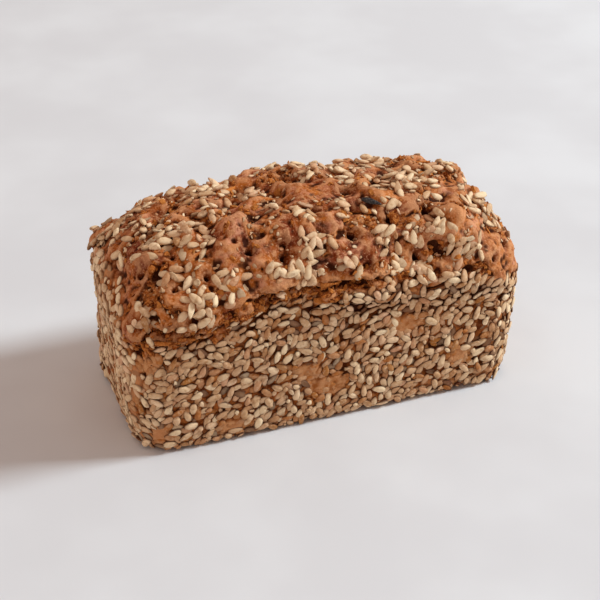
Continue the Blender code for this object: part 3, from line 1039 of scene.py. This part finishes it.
def flake(bm, middle, out, lie, long, wide, thick, curl, lift):
    """A thin curled scale, pointed at one end, its far end lifted off the crust."""
    side = out.cross(lie).normalized()
    rows = []
    for k in range(FLAKE_STEPS + 1):
        share = k / FLAKE_STEPS
        half = wide / 2 * (1 - share) ** 0.6 * (0.75 + 0.25 * math.cos(5 * share))
        ring = []
        for across, up in ((-1, 0), (0, 0.35), (1, 0), (0.9, -1), (0, -0.65), (-0.9, -1)):
            rise = lift * share ** 1.5 + thick * up * 0.5 - curl * across * across
            ring.append(bm.verts.new(middle + lie * long * (share - 0.4) + side * half * across + out * rise))
        rows.append(ring)
    for lower, upper in zip(rows, rows[1:]):
        for k in range(6):
            bm.faces.new((lower[k], lower[(k + 1) % 6], upper[(k + 1) % 6], upper[k]))
    bm.faces.new(rows[0][::-1])
    bm.faces.new(rows[-1])


def lay_flakes(name, flakes, paint, stand=0.0):
    """Makes one piece of flakes at their places on the crust, this far off it."""
    bm = bmesh.new()
    for x, y, z, angle, *sizes in flakes:
        place, _, _, _ = skin_tree.find_nearest(Vector((x, y, z)) * MM)
        _, out, _, _ = form_tree.find_nearest(place)
        place += out * stand
        flake(bm, place, out, lie_on(out, math.radians(angle)), *(size * MM for size in sizes))
    bmesh.ops.remove_doubles(bm, verts=bm.verts, dist=0.001 * MM)
    bmesh.ops.recalc_face_normals(bm, faces=bm.faces)
    mesh = mesh_of(bm, name)
    mesh.shade_smooth()
    mesh.materials.append(paint)
    piece = link(name, mesh)
    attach(piece, "root")


flake_paint, n, shader = new_material("lifted crust")
place = n.own_place()
crumb = n.add("ShaderNodeGroup", {"Place": place, "Fineness": 260.0}, node_tree=toasted).outputs
shade = n.blend(n.span(n.noise(place, 150), 0.4, 0.65), crumb["Colour"], colour(206, 124, 58))
coat(n, shader, shade, CRUST_ROUGHNESS, CRUST_SHINE)
roughen(n, shader, crumb["Height"], 0.9, 1.2 * MM)
lay_flakes(
    "crust_flakes",
    [
        # x, y, z, angle, then length, width, thickness, curl and lift in mm
        (71, 14, 107, 186, 10, 9, 1.4, 0.6, 2.5),
        (-90, -52, 68, 10, 12, 6, 1.5, 0.7, 2.0),
        (-80, -53, 69, -8, 10, 5, 1.3, 0.6, 2.0),
        (-97, -47, 66, 25, 8, 5, 1.3, 0.6, 1.6),
        (-8, -52, 84, 5, 9, 5, 1.3, 0.6, 1.0),
        (-34, -53, 81, 170, 8, 4, 1.2, 0.5, 1.2),
        (-34, 20, 108, 35, 11, 9, 1.6, 0.7, 2.6),
        (8, -50, 88, 200, 8, 5, 1.2, 0.5, 1.4),
    ],
    flake_paint,
    stand=0.6 * MM,
)
husk_paint, n, shader = new_material("black husk")
place = n.own_place()
stripe = n.noise(place, 900, 2.0)
striped = n.blend(n.span(stripe, 0.45, 0.7), colour(30, 26, 28), colour(92, 84, 80))
coat(n, shader, striped, roughness=0.5)
HUSK_SIZE = (11 * MM, 3.0 * MM, 1.8 * MM)
HUSK_ANGLE = math.radians(-6)
husk_bed = Bed()
place, out, _, _ = skin_tree.find_nearest(HUSK_AT)
out = (out + Vector((-0.2, -0.6, 0.4))).normalized()
husk_bed.lay(Kernel(place, out, lie_on(out, HUSK_ANGLE), HUSK_SIZE, 1.4 * MM, one_of((SLENDER,))))
husk_sliver = kernels_from(husk_bed, "husk_sliver", 0.0, 1, husk_paint)
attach(husk_sliver, "root")
herb_paint, n, shader = new_material("green herb")
place = n.own_place()
leafy = n.blend(n.noise(place, 800), colour(30, 58, 34), colour(64, 92, 52))
coat(n, shader, leafy, roughness=0.7)
HERB_FLAKE = (-107, -31, 46, 60, 3.4, 1.6, 0.5, 0.2, 0.4)
lay_flakes("green_speck", [HERB_FLAKE], herb_paint)

# ---------------------------------------------------------------- table, light and camera
# A pale table, a large soft light high on the right, a weak one low on the left, and the camera in front
# of the loaf's left corner.

TABLE_REACH = 4.0
floor = link("table_top", bpy.data.meshes.new("table_top"))
floor_corners = [(x * TABLE_REACH, y * TABLE_REACH, 0) for x, y in ((-1, -1), (1, -1), (1, 1), (-1, 1))]
floor.data.from_pydata(floor_corners, [], [(0, 1, 2, 3)])
floor_paint, n, shader = new_material("pale table")
place = n.own_place()
patchy = n.blend(n.span(n.noise(place, 9, 3.0), 0.35, 0.7), colour(222, 220, 221), colour(230, 229, 230))
coat(n, shader, patchy, roughness=0.8, shine=0.2)
floor.data.materials.append(floor_paint)
floor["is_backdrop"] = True

world = bpy.data.worlds.new("studio")
bpy.context.scene.world = world
world.use_nodes = True
n = Nodes(world.node_tree)
sky = world.node_tree.nodes["Background"]
sky.inputs["Color"].default_value = (1.2, 0.985, 0.88, 1)
way = n.add("ShaderNodeSeparateXYZ", {"Vector": n.add("ShaderNodeTexCoord").outputs["Generated"]})
world.node_tree.links.new(n.span(way.outputs["Z"], 0.0, 1.0, 0.17, 0.49), sky.inputs["Strength"])


def toward(azimuth, elevation):
    """The direction of a place seen from the loaf. Azimuth 0 is in front, 90 is to the right."""
    a, e = math.radians(azimuth), math.radians(elevation)
    return Vector((math.sin(a) * math.cos(e), -math.cos(a) * math.cos(e), math.sin(e)))


def soft_light(name, azimuth, elevation, distance, size, power, tint):
    """A square light that looks at the loaf."""
    lamp = bpy.data.lights.new(name, "AREA")
    lamp.size = size
    lamp.energy = power
    lamp.color = tint
    holder = bpy.data.objects.new(name, lamp)
    bpy.context.scene.collection.objects.link(holder)
    back = toward(azimuth, elevation)
    holder.location = back * distance
    holder.rotation_euler = back.to_track_quat("Z", "Y").to_euler()


soft_light("window", 79, 38, distance=4.0, size=0.85, power=156, tint=(0.80, 0.93, 1.0))
soft_light("fill", -82, 9, distance=3.0, size=2.0, power=18, tint=(1.0, 0.92, 0.84))

AZIMUTH, ELEVATION, ROLL = -21.48, 31.61, 0.748
DISTANCE, VIEW_ANGLE = 0.8235, 21.564
SHIFT_X, SHIFT_Y = -0.00511, -0.01785
AIM = Vector((0, 0, 0.05))
back = toward(AZIMUTH, ELEVATION)
lens = bpy.data.cameras.new("camera")
camera = bpy.data.objects.new("camera", lens)
bpy.context.scene.collection.objects.link(camera)
camera.location = AIM + back * DISTANCE
camera.rotation_euler = back.to_track_quat("Z", "Y").to_euler()
camera.rotation_euler.rotate_axis("Z", math.radians(ROLL))
lens.angle = math.radians(VIEW_ANGLE)
lens.shift_x, lens.shift_y = SHIFT_X, SHIFT_Y
bpy.context.scene.camera = camera
bpy.context.scene.view_settings.view_transform = "Standard"

visual_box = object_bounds()
boxes = {"cad": cad_box, "visual": visual_box}
{k: [list(map(float, corner)) for corner in box] for k, box in boxes.items()}
